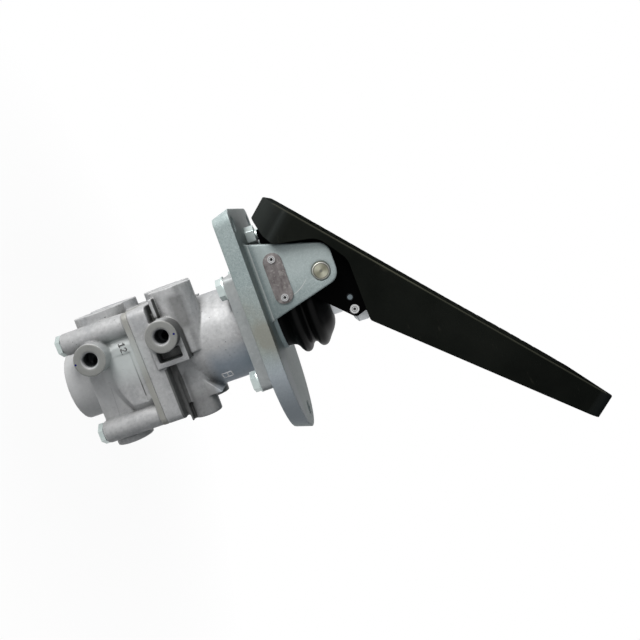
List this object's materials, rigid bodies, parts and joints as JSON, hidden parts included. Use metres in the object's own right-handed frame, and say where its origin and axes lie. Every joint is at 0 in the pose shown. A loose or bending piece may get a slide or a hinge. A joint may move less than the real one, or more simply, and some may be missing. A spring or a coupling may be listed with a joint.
{
  "type": "truck foot brake valve",
  "caption": "Floor-mounted treadle brake valve: sloping ribbed treadle on a cast bracket, roller and booted plunger, two-circuit valve housing with side ports hanging below.",
  "frame": {"origin": "valve axis at the underside of the floor plate, where it rests on the cab floor", "axes": "+Z along the valve axis up through the floor towards the treadle, +X along the plate towards the end that the treadle rises over, +Y across, along the pivot pin"},
  "size_m": [0.2163, 0.116, 0.3529],
  "materials": {
    "housing_casting": "satin cast",
    "bracket_casting": "satin grey paint on casting",
    "pin_steel": "turned",
    "zinc_bolt": "bright zinc plated",
    "bright_rivet": "bright",
    "bronze": "plain bearing bronze",
    "spring_steel": "oiled spring steel",
    "black_plastic": "satin moulded",
    "black_arm": "gloss black paint",
    "black_rubber": "soft rubber",
    "dark_plastic": "matte",
    "pale_plastic": "pale grey nylon",
    "plate_metal": "bare satin sheet"
  },
  "bodies": {
    "valve_body": {"mounting_bracket": "bracket_casting", "pivot_pin": "pin_steel", "stop_screw": "zinc_bolt", "stop_nut": "zinc_bolt", "boot": "black_rubber", "boot_collar": "pin_steel", "guide_bush": "bronze", "upper_housing": "housing_casting", "reaction_return_spring": "spring_steel", "upper_valve_spring": "spring_steel", "upper_valve_guide": "housing_casting", "upper_snap_ring": "spring_steel", "relay_return_spring": "spring_steel", "lower_housing": "housing_casting", "joint_seal": "black_rubber", "lower_valve_spring": "spring_steel", "lower_valve_guide": "housing_casting", "lower_snap_ring": "spring_steel", "exhaust_cover": "dark_plastic", "exhaust_flap": "black_rubber", "cover_snap_ring": "spring_steel", "flange_bolts": "zinc_bolt", "housing_bolts": "zinc_bolt", "nameplate": "plate_metal", "nameplate_rivets": "bright_rivet"},
    "pedal": {"pedal_arm": "black_arm", "treadle": "black_plastic", "treadle_screws": "zinc_bolt", "roller_axle": "zinc_bolt", "roller_spacers": "pale_plastic", "spacer_block": "pale_plastic", "blind_rivets": "bright_rivet", "pivot_bushes": "bronze", "pivot_washers": "dark_plastic"},
    "roller_body": {"roller": "pin_steel"},
    "plunger_body": {"plunger": "pale_plastic", "plunger_disc": "pin_steel"},
    "reaction_piston_body": {"reaction_piston": "housing_casting", "reaction_piston_seal": "black_rubber", "graduating_spring": "spring_steel"},
    "upper_valve_body": {"upper_valve": "black_rubber"},
    "relay_piston_body": {"relay_piston": "housing_casting", "relay_piston_seal": "black_rubber"},
    "lower_valve_body": {"lower_valve": "black_rubber"}
  },
  "joints": [
    {"name": "pedal_hinge", "type": "hinge", "parent": "valve_body", "child": "pedal", "pos_m": [-0.0237, 0, 0.0548], "axis": [0, 1, 0], "range_deg": [0, 18], "stiffness_Nm_per_rad": 150, "springref_deg": -5.73, "deforming": ["boot"]},
    {"name": "roller_spin", "type": "hinge", "parent": "pedal", "child": "roller_body", "pos_m": [0.0002, 0, 0.0671], "axis": [0, 1, 0], "continuous": true},
    {"name": "plunger_slide", "type": "slide", "parent": "valve_body", "child": "plunger_body", "axis": [0, 0, -1], "range_m": [0, 0.00801], "deforming": ["graduating_spring"]},
    {"name": "reaction_piston_slide", "type": "slide", "parent": "valve_body", "child": "reaction_piston_body", "axis": [0, 0, -1], "range_m": [0, 0.0025], "deforming": ["reaction_return_spring"]},
    {"name": "upper_valve_slide", "type": "slide", "parent": "valve_body", "child": "upper_valve_body", "axis": [0, 0, -1], "range_m": [0, 0.00175], "deforming": ["upper_valve_spring"]},
    {"name": "relay_piston_slide", "type": "slide", "parent": "valve_body", "child": "relay_piston_body", "axis": [0, 0, -1], "range_m": [0, 0.0025], "deforming": ["relay_return_spring"]},
    {"name": "lower_valve_slide", "type": "slide", "parent": "valve_body", "child": "lower_valve_body", "axis": [0, 0, -1], "range_m": [0, 0.00175], "deforming": ["lower_valve_spring"]}
  ],
  "couplings": [
    {"joint": "plunger_slide", "follows": "pedal_hinge", "m_per_rad": 0.025465},
    {"joint": "reaction_piston_slide", "follows": "pedal_hinge", "m_per_rad": 0.0079577},
    {"joint": "upper_valve_slide", "follows": "pedal_hinge", "m_per_rad": 0.0055704},
    {"joint": "relay_piston_slide", "follows": "pedal_hinge", "m_per_rad": 0.0079577},
    {"joint": "lower_valve_slide", "follows": "pedal_hinge", "m_per_rad": 0.0055704}
  ]
}
